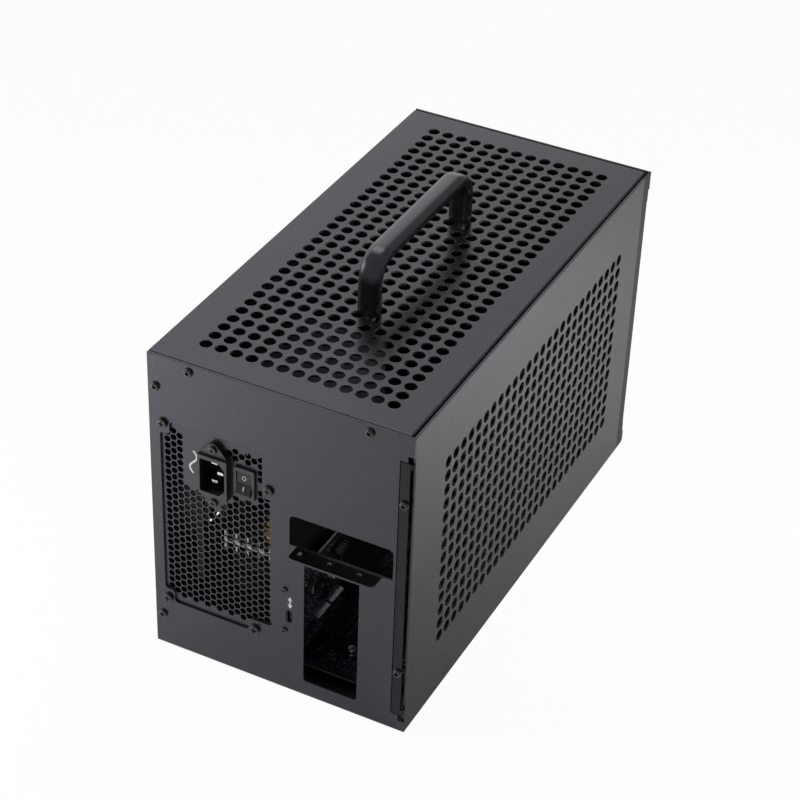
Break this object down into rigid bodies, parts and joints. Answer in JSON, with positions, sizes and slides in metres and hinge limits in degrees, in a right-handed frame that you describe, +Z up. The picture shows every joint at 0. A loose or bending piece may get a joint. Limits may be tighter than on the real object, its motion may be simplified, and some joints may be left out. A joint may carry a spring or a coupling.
{
  "type": "external graphics card enclosure",
  "caption": "External graphics card enclosure: vented sheet-steel case with a carrying handle, a built-in power supply and a rear window with a shelf for the card's bracket.",
  "frame": {"origin": "under the middle of the whole outline, on the surface that the feet stand on", "axes": "+Z up, the rear wall with the card window faces -Y, +X to the right seen from the rear"},
  "size_m": [0.18, 0.371, 0.2733],
  "materials": {
    "case_sheet": "fine satin black powder coat",
    "handle_coat": "satin black coat",
    "black_screws": "black oxide",
    "supply_sheet": "thin matt black coat",
    "black_plastic": "moulded, fine grain",
    "bright_contact": "nickel plate",
    "port_shell": "black nickel",
    "port_tongue": "moulded",
    "foot_rubber": "soft matt",
    "card_laminate": "lacquered laminate",
    "supply_laminate": "bare laminate",
    "sink_aluminium": "plain extruded",
    "ferrite": "sintered",
    "choke_winding": "enamelled copper",
    "capacitor_sleeve": "shrunk sleeve",
    "chip_body": "moulded",
    "standoff_brass": "turned",
    "plain_steel": "zinc plated"
  },
  "bodies": {
    "case": {"board_screws": "black_screws", "board_standoffs": "standoff_brass", "card_board": "card_laminate", "card_slot": "black_plastic", "chassis": "case_sheet", "chip_heatsink": "sink_aluminium", "controller_chip": "chip_body", "cover_screws": "black_screws", "data_port_shell": "port_shell", "data_port_tongue": "port_tongue", "fan_screws": "black_screws", "foot_front_left": "foot_rubber", "foot_front_right": "foot_rubber", "foot_rear_left": "foot_rubber", "foot_rear_right": "foot_rubber", "handle": "handle_coat", "handle_screws": "black_screws", "inlet_pins": "bright_contact", "inlet_screws": "black_screws", "left_panel": "case_sheet", "link_socket": "black_plastic", "port_board": "card_laminate", "port_bracket": "plain_steel", "port_screws": "black_screws", "port_spacers": "standoff_brass", "power_inlet": "black_plastic", "power_socket": "black_plastic", "psu_board": "supply_laminate", "psu_capacitor_lower": "capacitor_sleeve", "psu_capacitor_upper": "capacitor_sleeve", "psu_case": "supply_sheet", "psu_choke": "choke_winding", "psu_cover": "supply_sheet", "psu_fan_frame": "black_plastic", "psu_grommet": "foot_rubber", "psu_heatsink_lower": "sink_aluminium", "psu_heatsink_upper": "sink_aluminium", "psu_screws": "black_screws", "psu_transformer": "ferrite", "right_panel": "case_sheet", "switch_bezel": "black_plastic", "top_panel": "case_sheet"},
    "fan_rotor": {"psu_fan_rotor": "black_plastic"},
    "rocker": {"switch_rocker": "black_plastic"},
    "latch": {"slot_latch": "black_plastic"}
  },
  "joints": [
    {"name": "fan_spin", "type": "hinge", "parent": "case", "child": "fan_rotor", "pos_m": [-0.0724, -0.102, 0.1143], "axis": [1, 0, 0], "continuous": true},
    {"name": "rocker_tilt", "type": "hinge", "parent": "case", "child": "rocker", "pos_m": [-0.0233, -0.172, 0.1578], "axis": [1, 0, 0], "range_deg": [0, 20]},
    {"name": "latch_turn", "type": "hinge", "parent": "case", "child": "latch", "pos_m": [0.0225, -0.0359, 0.0149], "axis": [-1, 0, 0], "range_deg": [0, 30]}
  ]
}
